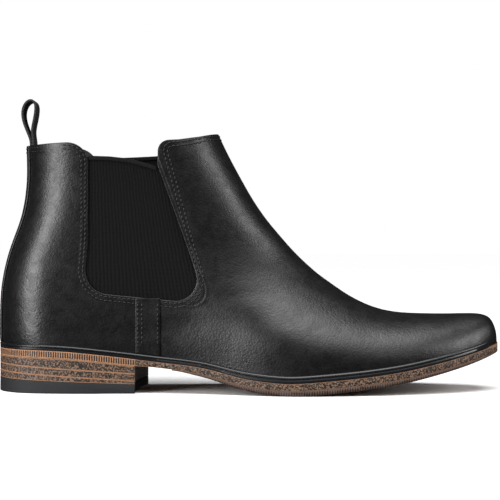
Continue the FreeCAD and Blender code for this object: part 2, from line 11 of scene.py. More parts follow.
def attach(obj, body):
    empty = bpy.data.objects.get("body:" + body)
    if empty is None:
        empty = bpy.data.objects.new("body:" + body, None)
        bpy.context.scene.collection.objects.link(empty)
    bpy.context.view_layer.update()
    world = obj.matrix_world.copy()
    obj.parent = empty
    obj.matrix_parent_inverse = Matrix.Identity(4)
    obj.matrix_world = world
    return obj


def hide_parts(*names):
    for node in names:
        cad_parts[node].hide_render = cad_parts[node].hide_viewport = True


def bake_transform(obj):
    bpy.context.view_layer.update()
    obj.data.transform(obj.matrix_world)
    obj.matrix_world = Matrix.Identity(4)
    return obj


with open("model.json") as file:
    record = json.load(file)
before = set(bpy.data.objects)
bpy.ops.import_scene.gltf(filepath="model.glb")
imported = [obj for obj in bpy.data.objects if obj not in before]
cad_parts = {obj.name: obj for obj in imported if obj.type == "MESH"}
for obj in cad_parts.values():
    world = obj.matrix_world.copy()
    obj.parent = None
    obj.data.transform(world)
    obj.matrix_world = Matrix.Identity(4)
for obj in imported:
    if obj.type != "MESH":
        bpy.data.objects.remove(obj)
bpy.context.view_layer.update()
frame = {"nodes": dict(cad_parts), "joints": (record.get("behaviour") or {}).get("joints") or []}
nodes = frame["nodes"]
mm = 0.001

# ---- small helpers


def deselectAll():
    if bpy.context.object and bpy.context.object.mode != "OBJECT":
        bpy.ops.object.mode_set(mode="OBJECT")
    bpy.ops.object.select_all(action="DESELECT")


def makeActive(piece):
    deselectAll()
    piece.select_set(True)
    bpy.context.view_layer.objects.active = piece


def srgb(hexText):
    channels = [int(hexText[i:i + 2], 16) / 255 for i in (1, 3, 5)]
    linear = [c / 12.92 if c <= 0.04045 else ((c + 0.055) / 1.055) ** 2.4 for c in channels]
    return (linear[0], linear[1], linear[2], 1.0)


def addNode(tree, kind, settings=None, values=None, links=None):
    node = tree.nodes.new(kind)  # settings are properties, values go on sockets, links come from sockets
    for key, value in (settings or {}).items():
        setattr(node, key, value)
    for key, value in (values or {}).items():
        node.inputs[key].default_value = value
    for key, source in (links or {}).items():
        tree.links.new(source, node.inputs[key])
    return node


def newMaterial(name, **sockets):
    material = bpy.data.materials.new(name)
    material.use_nodes = True
    tree = material.node_tree
    shader = tree.nodes["Principled BSDF"]
    for key, value in sockets.items():
        shader.inputs[key.replace("_", " ")].default_value = value
    return material, tree, shader


def dress(piece, *materials):
    piece.data.materials.clear()
    for material in materials:
        piece.data.materials.append(material)


def attribute(tree, name):
    return addNode(tree, "ShaderNodeAttribute", {"attribute_name": name}).outputs["Fac"]


def ramp(tree, source, low, high, toLow=0.0, toHigh=1.0):
    return addNode(tree, "ShaderNodeMapRange", {"interpolation_type": "SMOOTHSTEP"},
                   {"From Min": low, "From Max": high, "To Min": toLow, "To Max": toHigh},
                   {"Value": source}).outputs["Result"]


def mathNode(tree, operation, first, second):
    node = addNode(tree, "ShaderNodeMath", {"operation": operation})
    for i, item in enumerate((first, second)):
        if isinstance(item, (int, float)):
            node.inputs[i].default_value = item
        else:
            tree.links.new(item, node.inputs[i])
    return node.outputs[0]


def mixColor(tree, factor, first, second):
    node = addNode(tree, "ShaderNodeMix", {"data_type": "RGBA"}, links={"Factor": factor})
    for key, item in (("A", first), ("B", second)):
        if isinstance(item, str):
            node.inputs[key].default_value = srgb(item)
        else:
            tree.links.new(item, node.inputs[key])
    return node.outputs["Result"]

# ---- camera

view = {"distance": 0.9, "height": 0.086, "lens": 104.3, "middle": 0.0031}

bpy.ops.object.camera_add(location=(0.0008, view["middle"] - view["distance"], view["height"]),
                          rotation=(math.radians(90), 0, 0))
camera = bpy.context.object
camera.name = "camera"
camera.data.lens = view["lens"]
camera.data.sensor_width = 36
camera.data.dof.use_dof = False
bpy.context.scene.camera = camera
bpy.context.scene.view_settings.view_transform = "Standard"
bpy.context.scene.view_settings.look = "None"

# ---- floor and light

studio = {"floorColor": "#ffffff", "worldStrength": 0.035, "sunStrength": 3.3, "sunSpread": 50,
          "keyPower": 3.5, "leftPower": 24, "rightPower": 10}

deselectAll()
bpy.ops.mesh.primitive_plane_add(size=40, location=(0, 12, 0))
floor = bpy.context.object
floor.name = "floor"
paper, tree, shader = newMaterial("matte white background paper", Roughness=0.9)
shader.inputs["Base Color"].default_value = srgb(studio["floorColor"])
dress(floor, paper)
floor.visible_glossy = False  # a black card stands between the paper and the polished side

world = bpy.data.worlds.new("studio")
bpy.context.scene.world = world
world.use_nodes = True
sky = world.node_tree
fill = sky.nodes["Background"]
fill.inputs["Color"].default_value = (1, 1, 1, 1)
fill.inputs["Strength"].default_value = studio["worldStrength"]
white = addNode(sky, "ShaderNodeBackground", values={"Color": (1, 1, 1, 1), "Strength": 1.0})
rays = addNode(sky, "ShaderNodeLightPath")
both = addNode(sky, "ShaderNodeMixShader", links={"Fac": rays.outputs["Is Camera Ray"]})
sky.links.new(fill.outputs[0], both.inputs[1])
sky.links.new(white.outputs[0], both.inputs[2])
sky.links.new(both.outputs[0], sky.nodes["World Output"].inputs["Surface"])


def softBox(name, place, target, width, height, power):
    deselectAll()
    bpy.ops.object.light_add(type="AREA", location=place)
    lamp = bpy.context.object
    lamp.name = name
    lamp.data.shape = "RECTANGLE"
    lamp.data.size = width
    lamp.data.size_y = height
    lamp.data.energy = power
    aim = Vector(target) - Vector(place)
    lamp.rotation_euler = aim.to_track_quat("-Z", "Y").to_euler()
    return lamp


softBox("key box", (0.25, -1.0, 1.15), (0.0, 0, 0.08), 1.3, 0.7, studio["keyPower"])
softBox("left box", (-1.15, -0.95, 0.35), (-0.1, 0, 0.09), 0.7, 0.9, studio["leftPower"])
softBox("right box", (1.3, -0.5, 0.7), (0.1, 0, 0.05), 0.5, 0.8, studio["rightPower"])
deselectAll()
bpy.ops.object.light_add(type="SUN", location=(0, 0, 2), rotation=(math.radians(12), 0, 0))
sun = bpy.context.object
sun.name = "overhead light"
sun.data.energy = studio["sunStrength"]
sun.data.angle = math.radians(studio["sunSpread"])
print("studio is set")

# ---- places, worked out from the loaded parts

pivot = Vector(frame["joints"][0]["pos_m"])
# outlines below are in millimetres from the same start as the boot's patterns
pivotInPatterns = -133.4  # the pivot's X there
shiftX = pivot.x - pivotInPatterns * mm
middleY = pivot.y


def at(x, z):
    return (x * mm + shiftX, z * mm)


def cleanCopy(nodeName, name):
    # a merged copy of a loaded part, its edges still sharp
    piece = bpy.data.objects.new(name, nodes[nodeName].data.copy())
    bpy.context.scene.collection.objects.link(piece)
    makeActive(piece)
    bpy.ops.object.mode_set(mode="EDIT")
    bpy.ops.mesh.select_all(action="SELECT")
    bpy.ops.mesh.remove_doubles(threshold=0.002 * mm)
    bpy.ops.object.mode_set(mode="OBJECT")
    if piece.data.has_custom_normals:
        bpy.ops.mesh.customdata_custom_splitnormals_clear()
    return piece


def softenEdges(piece, width, steps=2, angle=50):
    makeActive(piece)
    bevel = piece.modifiers.new("round", "BEVEL")
    bevel.width = width * mm
    bevel.segments = steps
    bevel.limit_method = "ANGLE"
    bevel.angle_limit = math.radians(angle)
    bevel.use_clamp_overlap = False
    bevel.miter_outer = "MITER_ARC"
    bpy.ops.object.modifier_apply(modifier=bevel.name)
    bpy.ops.object.shade_smooth_by_angle(angle=math.radians(35))
    return piece


def standIn(piece, nodeName, body="boot"):
    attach(piece, body)
    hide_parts(nodeName)
    return piece


# ---- calf leather of the upper

leatherLook = {"color": "#060606", "mottled": "#0e0d0d", "grainSize": 1.3, "creaseSize": 6.0,
               "rough": 0.37, "edgeBevel": 0.4}


def calfLeather(name, look, relief=True):
    # drum-dyed calf, plated and lightly polished: near black with a soft broken sheen
    material, tree, shader = newMaterial(name, Roughness=look["rough"], IOR=1.5)
    place = addNode(tree, "ShaderNodeTexCoord").outputs["Object"]
    cloud = addNode(tree, "ShaderNodeTexNoise", values={"Scale": 1 / (30 * mm), "Detail": 4.0,
                    "Roughness": 0.6}, links={"Vector": place}).outputs["Fac"]
    color = addNode(tree, "ShaderNodeMix", {"data_type": "RGBA"}, links={"Factor": cloud})
    color.inputs["A"].default_value = srgb(look["color"])
    color.inputs["B"].default_value = srgb(look["mottled"])
    tree.links.new(color.outputs["Result"], shader.inputs["Base Color"])
    # real pores are about 0.3 mm apart, too fine to show, so they are drawn coarser
    pores = addNode(tree, "ShaderNodeTexVoronoi", {"feature": "F1"},
                    {"Scale": 1 / (look["grainSize"] * mm)}, {"Vector": place}).outputs["Distance"]
    folds = addNode(tree, "ShaderNodeTexNoise",
                    values={"Scale": 1 / (look["creaseSize"] * mm), "Detail": 4.0,
                            "Roughness": 0.62, "Distortion": 0.8},
                    links={"Vector": place}).outputs["Fac"]
    swell = addNode(tree, "ShaderNodeTexNoise", values={"Scale": 1 / (34 * mm), "Detail": 1.0},
                    links={"Vector": place}).outputs["Fac"]
    polish = addNode(tree, "ShaderNodeMapRange", values={"From Min": 0.3, "From Max": 0.7,
                     "To Min": look["rough"] - 0.05, "To Max": look["rough"] + 0.08},
                     links={"Value": folds}).outputs["Result"]
    tree.links.new(polish, shader.inputs["Roughness"])
    broad = addNode(tree, "ShaderNodeBump", values={"Strength": 1.0, "Distance": 0.9 * mm},
                    links={"Height": swell}).outputs["Normal"]
    low = addNode(tree, "ShaderNodeBump", values={"Strength": 1.0, "Distance": 0.11 * mm},
                  links={"Height": folds, "Normal": broad}).outputs["Normal"]
    last = addNode(tree, "ShaderNodeBump", values={"Strength": 1.0, "Distance": 0.06 * mm},
                   links={"Height": pores, "Normal": low}).outputs["Normal"]
    if relief:
        last = addNode(tree, "ShaderNodeBump", values={"Strength": 1.0, "Distance": 0.6 * mm},
                       links={"Height": windowRelief(tree, place), "Normal": last}).outputs["Normal"]
    tree.links.new(last, shader.inputs["Normal"])
    return material


def windowRelief(tree, place):
    # leather is pulled down along the seam round the elastic and swells just outside it
    parts = addNode(tree, "ShaderNodeSeparateXYZ", links={"Vector": place})
    flat = addNode(tree, "ShaderNodeCombineXYZ",
                   links={"X": parts.outputs["X"], "Y": parts.outputs["Z"]})
    corner = 13 * mm  # the window's lower corners are rounded by this much
    relief = 24 * mm  # width of leather that the seam pulls on
    centre = Vector(at(-65, 95))
    sides = []
    for first, second in (((-96.9, 100), (-98.9, 70)), ((-90, 60.2), (-40, 55.0)),
                          ((-33.2, 77), (-52.5, 129))):
        start = Vector(at(*first))
        along = (Vector(at(*second)) - start).normalized()
        out = Vector((-along.y, along.x))
        if out.dot(start - centre) < 0:
            out = -out
        dot = addNode(tree, "ShaderNodeVectorMath", {"operation": "DOT_PRODUCT"},
                      links={0: flat.outputs["Vector"]})
        dot.inputs[1].default_value = (out.x, out.y, 0)
        sides.append(mathNode(tree, "ADD", dot.outputs["Value"], corner - out.dot(start)))
    wide = mathNode(tree, "MAXIMUM", mathNode(tree, "MAXIMUM", sides[0], sides[2]), 0.0)
    tall = mathNode(tree, "MAXIMUM", sides[1], 0.0)
    reach = mathNode(tree, "SQRT", mathNode(tree, "ADD", mathNode(tree, "MULTIPLY", wide, wide),
                                            mathNode(tree, "MULTIPLY", tall, tall)), 0.0)
    level = mathNode(tree, "SUBTRACT", reach, corner)
    ramp = addNode(tree, "ShaderNodeFloatCurve", links={"Value": addNode(
        tree, "ShaderNodeMapRange", values={"From Min": 0.0, "From Max": relief},
        links={"Value": level}).outputs["Result"]})
    curve = ramp.mapping.curves[0]
    curve.points[0].location = (0.0, 0.42)
    curve.points[1].location = (1.0, 0.3)
    for x, y in ((0.04, 0.4), (0.08, 0.22), (0.12, 0.34), (0.165, 0.24), (0.26, 0.34), (0.4, 0.42),
                 (0.6, 0.4), (0.82, 0.33)):
        curve.points.new(x, y)
    ramp.mapping.update()
    return ramp.outputs[0]


calf = calfLeather("plated calf leather, polished", leatherLook)
trimCalf = calfLeather("skived calf trim, polished", leatherLook, relief=False)
uppers = []
for name in ("vamp", "quarter_lateral", "quarter_medial"):
    piece = softenEdges(cleanCopy(name, name + "_leather"), leatherLook["edgeBevel"], 3)
    dress(piece, calf)
    uppers.append(standIn(piece, name))
for name in ("backstay", "side_strap_lateral", "side_strap_medial"):
    piece = softenEdges(cleanCopy(name, name + "_leather"), 0.3, 2)
    dress(piece, trimCalf)
    uppers.append(standIn(piece, name))
print("leather is cut")

# ---- elastic gussets and the tape over their edges

elasticLook = {"color": "#020202", "thread": "#0c0c0c", "ribPitch": 1.75, "threadPitch": 0.8}


def wovenElastic(name, look):
    # warp-knit elastic: matte black ribs that fan out downwards, crossed by fine threads
    material, tree, shader = newMaterial(name, Roughness=0.85, Specular_IOR_Level=0.15)
    place = addNode(tree, "ShaderNodeTexCoord").outputs["Object"]
    parts = addNode(tree, "ShaderNodeSeparateXYZ", links={"Vector": place})
    backX, topZ = at(-97, 142)
    fan = addNode(tree, "ShaderNodeMapRange", {"clamp": False},
                  {"From Min": topZ, "From Max": topZ - 85 * mm, "To Min": 1.0, "To Max": 1.35},
                  {"Value": parts.outputs["Z"]}).outputs["Result"]
    offset = addNode(tree, "ShaderNodeMath", {"operation": "SUBTRACT"}, {1: backX},
                     {0: parts.outputs["X"]}).outputs[0]
    across = addNode(tree, "ShaderNodeMath", {"operation": "DIVIDE"},
                     links={0: offset, 1: fan}).outputs[0]
    wobble = addNode(tree, "ShaderNodeTexNoise", values={"Scale": 1 / (9 * mm), "Detail": 2.0},
                     links={"Vector": place}).outputs["Fac"]
    bent = addNode(tree, "ShaderNodeMath", {"operation": "MULTIPLY_ADD"}, {1: 1.4 * mm},
                   {0: wobble, 2: across}).outputs[0]
    ribs = []
    for source, pitch in ((bent, look["ribPitch"]), (parts.outputs["Z"], look["threadPitch"])):
        turn = addNode(tree, "ShaderNodeMath", {"operation": "MULTIPLY"},
                       {1: 2 * math.pi / (pitch * mm)}, {0: source}).outputs[0]
        wave = addNode(tree, "ShaderNodeMath", {"operation": "SINE"}, links={0: turn}).outputs[0]
        ribs.append(addNode(tree, "ShaderNodeMath", {"operation": "MULTIPLY_ADD"},
                            {1: 0.5, 2: 0.5}, {0: wave}).outputs[0])
    both = addNode(tree, "ShaderNodeMath", {"operation": "MULTIPLY_ADD"}, {1: 0.45},
                   {0: ribs[1], 2: ribs[0]}).outputs[0]
    color = addNode(tree, "ShaderNodeMix", {"data_type": "RGBA"}, links={"Factor": both})
    color.inputs["A"].default_value = srgb(look["color"])
    color.inputs["B"].default_value = srgb(look["thread"])
    tree.links.new(color.outputs["Result"], shader.inputs["Base Color"])
    bump = addNode(tree, "ShaderNodeBump", values={"Strength": 1.0, "Distance": 0.16 * mm},
                   links={"Height": both}).outputs["Normal"]
    tree.links.new(bump, shader.inputs["Normal"])
    return material


elastic = wovenElastic("woven elastic, ribbed", elasticLook)
tape = wovenElastic("woven edge tape", {"color": "#080808", "thread": "#161616", "ribPitch": 0.8,
                                       "threadPitch": 0.8})
for side in ("lateral", "medial"):
    dress(nodes["gusset_" + side], elastic)
    piece = softenEdges(cleanCopy("gusset_binding_" + side, "gusset_tape_" + side), 0.5, 3)
    dress(piece, tape)
    standIn(piece, "gusset_binding_" + side)
print("elastic is set")

# ---- welt, sole and heel

soleLook = {"tan": "#a07250", "deepTan": "#755239", "dark": "#15100d", "speck": "#6f5542",
            "lineWidth": 0.42, "tickPitch": 1.45, "toothPitch": 1.5, "tickEnd": -68.0}


def between(x, xs, values):
    i = min(max(bisect.bisect_left(xs, x), 1), len(xs) - 1)
    span = xs[i] - xs[i - 1]
    share = min(max((x - xs[i - 1]) / span, 0.0), 1.0) if span else 0.0
    return values[i - 1] + (values[i] - values[i - 1]) * share


def soleOutline():
    # points round the outsole's edge, lateral side first, found by looking at it from outside
    mesh = nodes["outsole"].data
    tree = BVHTree.FromPolygons([v.co for v in mesh.vertices], [f.vertices for f in mesh.polygons])
    heights = {}
    for vertex in mesh.vertices:
        heights.setdefault(round(vertex.co.x / (4 * mm)), []).append(vertex.co.z)
    xs = sorted(heights)
    levels = [(max(heights[x]) + min(heights[x])) / 2 for x in xs]
    xs = [x * 4 * mm for x in xs]
    looks = []
    for k in range(-120, 121, 2):
        looks.append((k * mm, Vector((0, 1))))
    for k in range(-87, 88, 3):
        turn = math.radians(k)
        looks.append((120 * mm, Vector((-math.cos(turn), -math.sin(turn)))))
    for k in range(120, -121, -2):
        looks.append((k * mm, Vector((0, -1))))
    for k in range(93, 268, 3):
        turn = math.radians(k)
        looks.append((-120 * mm, Vector((-math.cos(turn), -math.sin(turn)))))
    outline = []
    for x, way in looks:
        start = Vector((x, middleY)) - way * 0.12
        level = between(x, xs, levels)
        for again in range(3):  # the edge's height changes with where it is met
            hit = tree.ray_cast(Vector((start.x, start.y, level)), Vector((way.x, way.y, 0)))[0]
            if hit is None:
                break
            level = between(hit.x, xs, levels)
        if hit is not None:
            outline.append(Vector((hit.x, hit.y)))
    return outline


outline = soleOutline()
outlineRuns = [0.0]
for here, there in zip(outline, outline[1:] + outline[:1]):
    outlineRuns.append(outlineRuns[-1] + (there - here).length)
nearest = KDTree(len(outline))
for i, point in enumerate(outline):
    nearest.insert((point.x, point.y, 0), i)
nearest.balance()


def roundPlace(x, y):
    # distance run round the outline up to the spot beside (x, y), and how far in from the edge it is
    i = nearest.find((x, y, 0))[1]
    along = (outline[(i + 1) % len(outline)] - outline[i - 1]).normalized()
    step = Vector((x, y)) - outline[i]
    return outlineRuns[i] + step.dot(along), abs(step.dot(Vector((-along.y, along.x))))


def levelLines(piece):
    # heights of the layer's upper and lower faces along the boot, felt for just inside its edge
    mesh = piece.data
    tree = BVHTree.FromPolygons([v.co for v in mesh.vertices], [f.vertices for f in mesh.polygons])
    rows = []
    for i, point in enumerate(outline):
        along = (outline[(i + 1) % len(outline)] - outline[i - 1]).normalized()
        spot = point - Vector((along.y, -along.x)) * 0.5 * mm
        top = tree.ray_cast(Vector((spot.x, spot.y, 0.5)), Vector((0, 0, -1)))[0]
        base = tree.ray_cast(Vector((spot.x, spot.y, -0.5)), Vector((0, 0, 1)))[0]
        if top is not None and base is not None:
            rows.append((spot.x, top.z, base.z))
    rows.sort()
    xs = [row[0] for row in rows]
    return (xs, [row[1] for row in rows]), (xs, [row[2] for row in rows])


def edgeLayer(nodeName, name, bevelWidth, steps, wallMaterial, faceMaterial):
    # layer with eased edges that knows, at each corner, its place round the sole and in its thickness
    piece = cleanCopy(nodeName, name)
    upper, lower = levelLines(piece)
    if bevelWidth:
        softenEdges(piece, bevelWidth, steps)
    mesh = piece.data
    runs = mesh.attributes.new("run", "FLOAT", "CORNER")
    rises = mesh.attributes.new("rise", "FLOAT", "CORNER")
    drops = mesh.attributes.new("drop", "FLOAT", "CORNER")
    whole = outlineRuns[-1]
    for face in mesh.polygons:
        values = []
        for corner in face.loop_indices:
            co = mesh.vertices[mesh.loops[corner].vertex_index].co
            values.append(roundPlace(co.x, co.y)[0])
            rises.data[corner].value = co.z - between(co.x, *lower)
            drops.data[corner].value = between(co.x, *upper) - co.z
        wraps = max(values) - min(values) > whole / 2
        for corner, value in zip(face.loop_indices, values):
            runs.data[corner].value = value + whole if wraps and value < whole / 2 else value
    dress(piece, wallMaterial, faceMaterial)
    for face in mesh.polygons:
        face.material_index = 1 if abs(face.normal.z) > 0.75 else 0
    return standIn(piece, nodeName)


def leatherEdge(name, look, ticks=False, teeth=False):
    # sanded and dressed edge of sole leather: dark stain caught in the fibres, tan where it is burnished
    material, tree, shader = newMaterial(name, Roughness=0.6)
    place = addNode(tree, "ShaderNodeTexCoord").outputs["Object"]
    rise, drop, run = (attribute(tree, key) for key in ("rise", "drop", "run"))
    # cut fibres are finer than this in real leather, and are drawn coarser so that they show
    fibre = addNode(tree, "ShaderNodeTexNoise", values={"Scale": 1 / (0.9 * mm), "Detail": 2.0,
                    "Roughness": 0.6}, links={"Vector": place}).outputs["Fac"]
    parts = addNode(tree, "ShaderNodeSeparateXYZ", links={"Vector": place})
    heelZone = ramp(tree, parts.outputs["X"], (look["tickEnd"] - 1) * mm, (look["tickEnd"] + 1) * mm,
                    1.0, 0.0)
    speckled = mixColor(tree, ramp(tree, fibre, 0.47, 0.58), look["dark"], look["speck"])
    wide = look["lineWidth"] * mm
    low = ramp(tree, rise, wide * 0.6, wide * 0.9, 1.0, 0.0)
    high = ramp(tree, drop, wide * 0.6, wide * 0.9, 1.0, 0.0)
    line = mathNode(tree, "MAXIMUM", low, high)
    tanShade = mixColor(tree, ramp(tree, fibre, 0.35, 0.7), look["tan"], look["deepTan"])
    lineShade = mixColor(tree, heelZone, mixColor(tree, fibre, look["tan"], look["dark"]), tanShade)
    height = fibre
    if ticks:  # wheel marks pressed into the heel part of the outsole's edge
        wave = mathNode(tree, "SINE", mathNode(tree, "MULTIPLY", run,
                                               2 * math.pi / (look["tickPitch"] * mm)), 0.0)
        mark = ramp(tree, wave, -0.5, 0.1)
        inside = mathNode(tree, "MULTIPLY", ramp(tree, rise, 0.5 * mm, 0.8 * mm),
                          ramp(tree, drop, 0.4 * mm, 0.7 * mm))
        mark = mathNode(tree, "MULTIPLY", mark, inside)
        ticked = mixColor(tree, mark, tanShade, look["dark"])
        plainPart = mixColor(tree, line, speckled, lineShade)
        color = mixColor(tree, heelZone, plainPart, ticked)
        height = mathNode(tree, "SUBTRACT", fibre, mathNode(tree, "MULTIPLY", mark, heelZone))
    elif teeth:  # ribs rolled along the upper part of the tread's edge
        wave = mathNode(tree, "SINE", mathNode(tree, "MULTIPLY", run,
                                               2 * math.pi / (look["toothPitch"] * mm)), 0.0)
        mark = mathNode(tree, "MULTIPLY", ramp(tree, wave, -0.3, 0.35),
                        ramp(tree, drop, 0.3 * mm, 0.6 * mm))
        # the tread edge's brown is partly its own colour and partly painted shade: darkened for the
        # shadow the edge sits in just above the floor
        mottled = mixColor(tree, fibre, "#35241b", "#573c2c")
        color = mixColor(tree, mark, mottled, look["dark"])
        height = mathNode(tree, "SUBTRACT", fibre, mark)
    else:
        color = mixColor(tree, line, speckled, lineShade)
    tree.links.new(color, shader.inputs["Base Color"])
    bump = addNode(tree, "ShaderNodeBump", values={"Strength": 0.8, "Distance": 0.2 * mm},
                   links={"Height": height}).outputs["Normal"]
    tree.links.new(bump, shader.inputs["Normal"])
    return material


def stock(name, dark, light, size, rough=0.6, bumpDepth=0.1, kind="noise", metallic=0.0):
    # one plain material with its own grain: size is the grain in millimetres
    material, tree, shader = newMaterial(name, Roughness=rough, Metallic=metallic)
    place = addNode(tree, "ShaderNodeTexCoord").outputs["Object"]
    if kind == "noise":
        grain = addNode(tree, "ShaderNodeTexNoise", values={"Scale": 1 / (size * mm), "Detail": 4.0},
                        links={"Vector": place}).outputs["Fac"]
    elif kind == "cells":
        grain = addNode(tree, "ShaderNodeTexVoronoi", values={"Scale": 1 / (size * mm)},
                        links={"Vector": place}).outputs["Distance"]
    else:  # drawn: long fine marks along the boot
        stretch = addNode(tree, "ShaderNodeMapping", values={"Scale": (0.06, 1.0, 1.0)},
                          links={"Vector": place}).outputs["Vector"]
        grain = addNode(tree, "ShaderNodeTexNoise", values={"Scale": 1 / (size * mm), "Detail": 3.0},
                        links={"Vector": stretch}).outputs["Fac"]
    tree.links.new(mixColor(tree, grain, dark, light), shader.inputs["Base Color"])
    bump = addNode(tree, "ShaderNodeBump", values={"Strength": 0.7, "Distance": bumpDepth * mm},
                   links={"Height": grain}).outputs["Normal"]
    tree.links.new(bump, shader.inputs["Normal"])
    return material


weltInk = stock("inked and waxed welt leather", "#0b0c0d", "#15161a", 1.6, 0.3, 0.05)
liftEdge = leatherEdge("stacked leather lifts, stained edge", soleLook)
outsoleEdge = leatherEdge("outsole edge, wheeled at the heel", soleLook, ticks=True)
treadEdge = leatherEdge("ribbed tread edge, burnished", soleLook, teeth=True)
underside = stock("oak-bark sole leather, burnished", "#4f382a", "#6b4c38", 2.2, 0.55, 0.08)
# the breast's grey-brown is partly the leather's own tone and partly painted light: it is lightened
# because the lamps barely reach the forward face
breastLeatherAndPaintedLight = stock("heel breast leather, lightened as painted light", "#544a43", "#6a5e55", 1.2, 0.6, 0.12)
heelRubber = stock("moulded heel rubber, matte", "#121315", "#1b1c1f", 0.9, 0.7, 0.08)

weltLook = {"profile": [(-2.9, 0.03), (-0.05, 0.0), (0.02, 0.12), (0.02, 0.38), (-0.3, 0.46),
                        (-0.3, 0.5), (0.02, 0.54), (0.2, 0.62), (0.2, 0.72), (0.02, 0.83),
                        (-0.35, 0.93), (-0.9, 0.995), (-1.5, 0.97), (-2.0, 0.86), (-2.9, 0.8)]}


def weltBead(look):
    # strip with a rounded upper bead over a flat band, swept round the outline
    upper, lower = levelLines(nodes["welt"])
    mesh = bmesh.new()
    rings = []
    count = len(outline)
    for i in range(count):
        along = (outline[(i + 1) % count] - outline[i - 1]).normalized()
        out = Vector((along.y, -along.x))
        ring = []
        for reach, share in look["profile"]:
            spot = outline[i] + out * reach * mm
            low = between(spot.x, *lower)
            high = between(spot.x, *upper)
            ring.append(mesh.verts.new((spot.x, spot.y, low + (high - low) * share)))
        rings.append(ring)
    size = len(look["profile"])
    for i in range(count):
        one, two = rings[i], rings[(i + 1) % count]
        for k in range(size):
            mesh.faces.new((one[k], two[k], two[(k + 1) % size], one[(k + 1) % size]))
    bmesh.ops.recalc_face_normals(mesh, faces=mesh.faces)
    data = bpy.data.meshes.new("welt_bead")
    mesh.to_mesh(data)
    mesh.free()
    piece = bpy.data.objects.new("welt_bead", data)
    bpy.context.scene.collection.objects.link(piece)
    makeActive(piece)
    bpy.ops.object.shade_smooth_by_angle(angle=math.radians(50))
    return piece


welt = weltBead(weltLook)
dress(welt, weltInk)
standIn(welt, "welt")
edgeLayer("outsole", "outsole_edge", 0.25, 2, outsoleEdge, underside)
edgeLayer("forepart_tread", "tread_edge", 0.0, 2, treadEdge, underside)
for name in ("heel_lift_1", "heel_lift_2", "heel_lift_wedge"):
    lift = edgeLayer(name, name + "_edge", 0.12, 1, liftEdge, underside)
    # forward-facing breast faces get the lightened grey-brown, painted light over the leather's own tone
    lift.data.materials.append(breastLeatherAndPaintedLight)
    for face in lift.data.polygons:
        if face.normal.x > 0.6 and face.center.x > at(-76, 0)[0]:
            face.material_index = 2
topPiece = softenEdges(cleanCopy("heel_top_piece", "top_piece_rubber"), 0.5, 3)
dress(topPiece, heelRubber)
standIn(topPiece, "heel_top_piece")
print("sole and heel are set")

# ---- stitching

stitchLook = {"thread": "#060606", "length": 2.35, "width": 0.95, "height": 0.6, "pitch": 2.8}


def surfaceTree(names):
    vertices = []
    faces = []
    for name in names:
        mesh = nodes[name].data
        start = len(vertices)
        vertices += [vertex.co.copy() for vertex in mesh.vertices]
        faces += [[start + i for i in face.vertices] for face in mesh.polygons]
    return BVHTree.FromPolygons(vertices, faces)


outerTree = surfaceTree(["vamp", "quarter_lateral", "quarter_medial"])
trimTree = surfaceTree(["vamp", "quarter_lateral", "quarter_medial", "backstay",
                        "side_strap_lateral", "side_strap_medial"])


def waxedThread(name, color):
    # three-ply waxed thread: black with a dull shine on each stitch
    return stock(name, color, "#0f0f10", 0.6, 0.5, 0.08)


def oneStitch():
    deselectAll()
    bpy.ops.mesh.primitive_uv_sphere_add(segments=8, ring_count=5, radius=0.5 * mm,
                                         rotation=(0, math.radians(90), 0))
    stitch = bpy.context.object
    bpy.ops.object.transform_apply(location=False, rotation=True, scale=False)
    stitch.scale = (stitchLook["length"], stitchLook["width"], stitchLook["height"])
    bpy.ops.object.transform_apply(location=False, rotation=False, scale=True)
    return stitch


def sewRow(target, stitch, points, lean=0.0):
    # lays copies of the stitch along points, each a (place, outward direction) pair
    step = stitchLook["pitch"] * mm
    travelled = step / 2
    for (place0, out0), (place1, out1) in zip(points, points[1:]):
        span = (place1 - place0).length
        if span > 6 * mm or span == 0:
            continue
        while travelled < span:
            place = place0.lerp(place1, travelled / span)
            out = out0.lerp(out1, travelled / span).normalized()
            along = (place1 - place0).normalized()
            side = out.cross(along).normalized()
            along = (along + side * lean).normalized()
            side = out.cross(along).normalized()
            turn = Matrix((along, side, out)).transposed().to_4x4()
            turn.translation = place + out * 0.05 * mm
            start = len(target.verts)
            target.from_mesh(stitch.data)
            target.verts.ensure_lookup_table()
            bmesh.ops.transform(target, matrix=turn, verts=target.verts[start:])
            travelled += step
        travelled -= span


def castSide(tree, x, z, side):
    hit, normal, index, distance = tree.ray_cast(Vector((x, side * 0.2, z)), Vector((0, -side, 0)))
    if hit is None:
        return None
    return (hit, normal if normal.y * side > 0 else -normal)


def castRound(tree, axisX, z, turn):
    way = Vector((math.cos(turn), math.sin(turn), 0))
    axis = Vector((axisX, middleY, z))
    hit, normal, index, distance = tree.ray_cast(axis + way * 0.15, -way)
    if hit is None:
        return None
    return (hit, normal if normal.dot(way) > 0 else -normal)


def roundedPath(corners, inset, step=0.8):
    # points along straight runs and corner arcs, moved sideways by inset to the left of travel
    points = []
    for i in range(1, len(corners) - 1):
        x0, z0, r0 = corners[i - 1]
        x1, z1, r1 = corners[i]
        x2, z2, r2 = corners[i + 1]
        corner = Vector((x1, z1))
        back = (Vector((x0, z0)) - corner).normalized()
        ahead = (Vector((x2, z2)) - corner).normalized()
        half = back.angle(ahead) / 2
        turnLeft = (-back).cross(ahead) > 0
        radius = max(r1, 0.5)
        reach = radius / math.tan(half)
        centre = corner + (back + ahead).normalized() * radius / math.sin(half)
        first = corner + back * reach - centre
        sweep = math.pi - 2 * half
        real = radius + (-inset if turnLeft else inset)
        count = max(int(sweep * radius / step), 2)
        for k in range(count + 1):
            turn = sweep * k / count * (1 if turnLeft else -1)
            ray = Vector((first.x * math.cos(turn) - first.y * math.sin(turn),
                          first.x * math.sin(turn) + first.y * math.cos(turn))).normalized()
            points.append(centre + ray * max(real, 0.3))
    filled = [points[0]]
    for point in points[1:]:
        run = point - filled[-1]
        pieces = max(int(run.length / step), 1)
        start = filled[-1].copy()
        for k in range(1, pieces + 1):
            filled.append(start + run * (k / pieces))
    return filled


